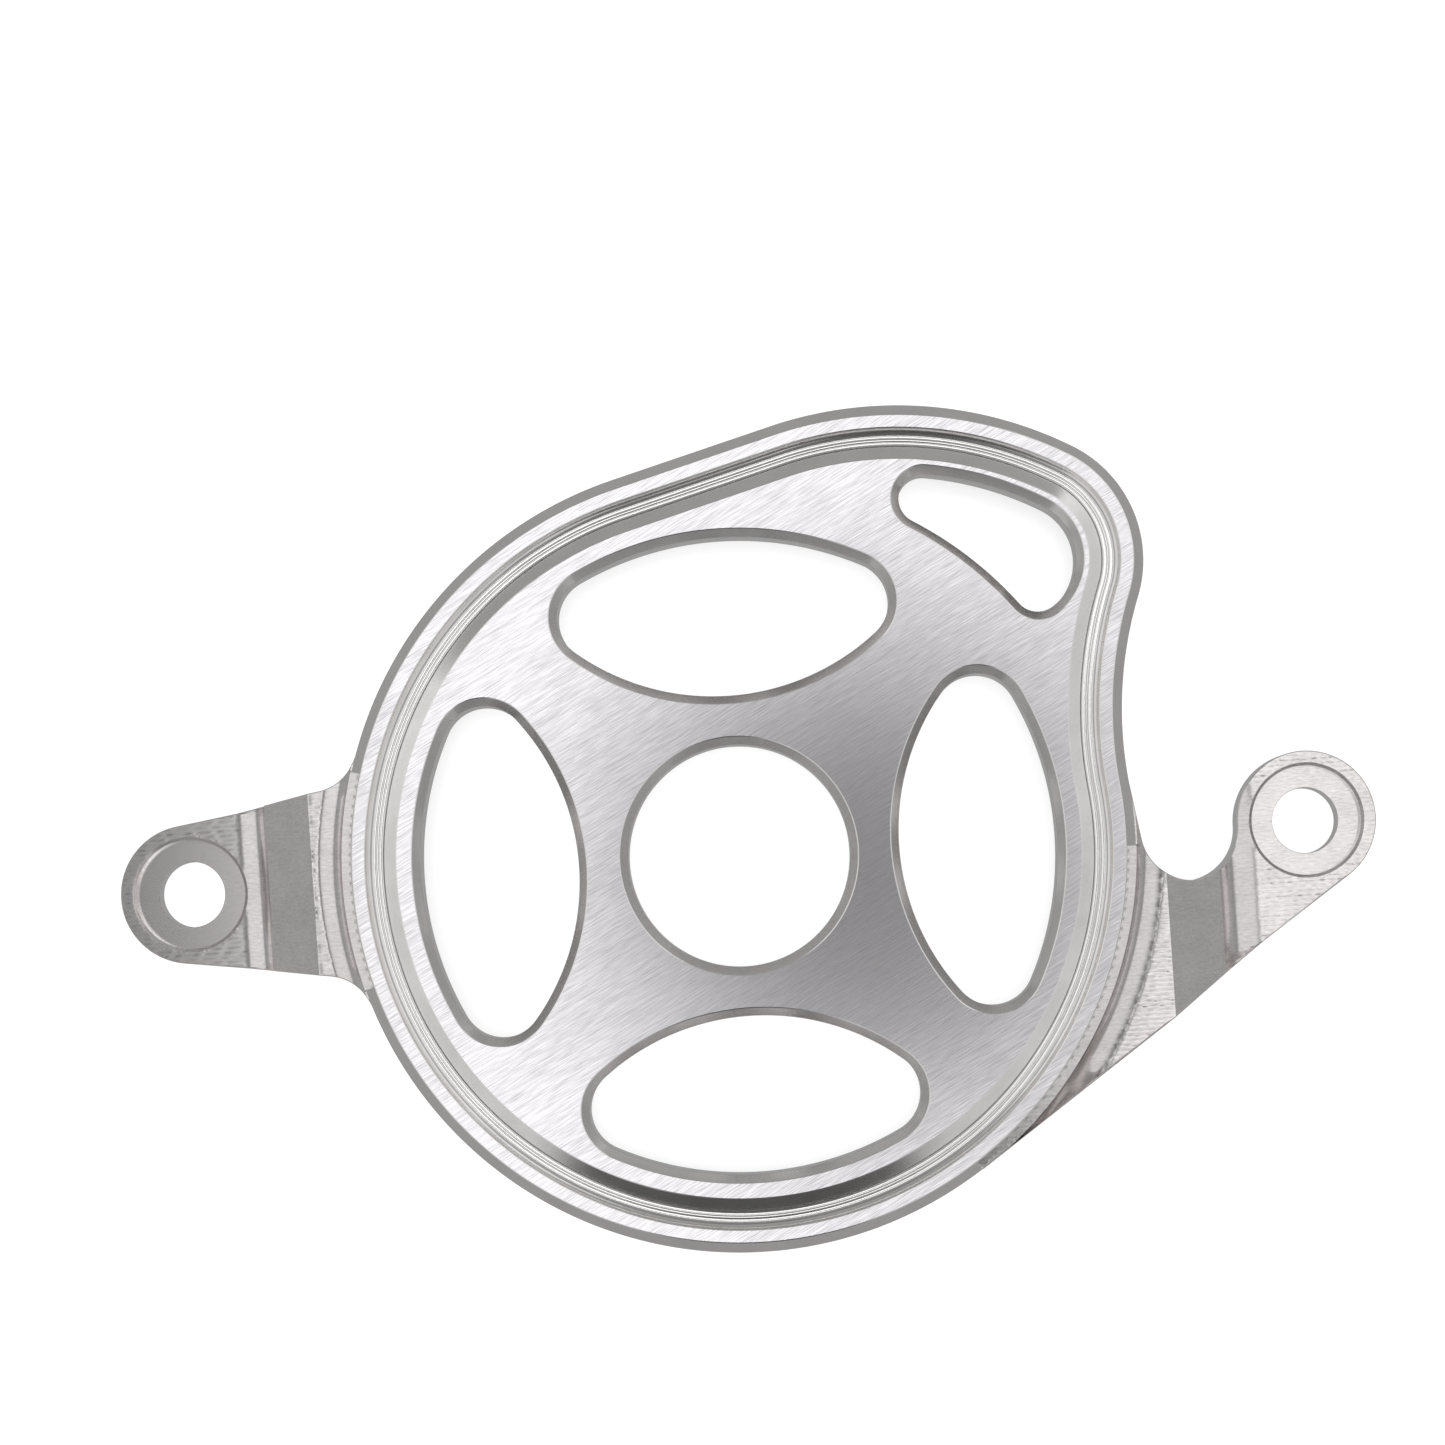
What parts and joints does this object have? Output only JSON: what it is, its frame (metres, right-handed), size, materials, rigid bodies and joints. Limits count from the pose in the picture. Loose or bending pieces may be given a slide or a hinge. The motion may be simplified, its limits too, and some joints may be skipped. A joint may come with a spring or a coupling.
{
  "type": "motor cover",
  "caption": "Round milled aluminium motor cover with a side lobe, lens-shaped windows, a hub hole and a low bolt ear at either side.",
  "frame": {"origin": "centre of the part's box in X and Y, at its underside", "axes": "+X from the left bolt hole to the right one, +Y towards the lobe, +Z out of the face"},
  "size_m": [0.1722, 0.1118, 0.023],
  "materials": {
    "milled_aluminium": "bare, milled and fine-brushed"
  },
  "bodies": {
    "root": {"motor_cover": "milled_aluminium"}
  },
  "joints": []
}
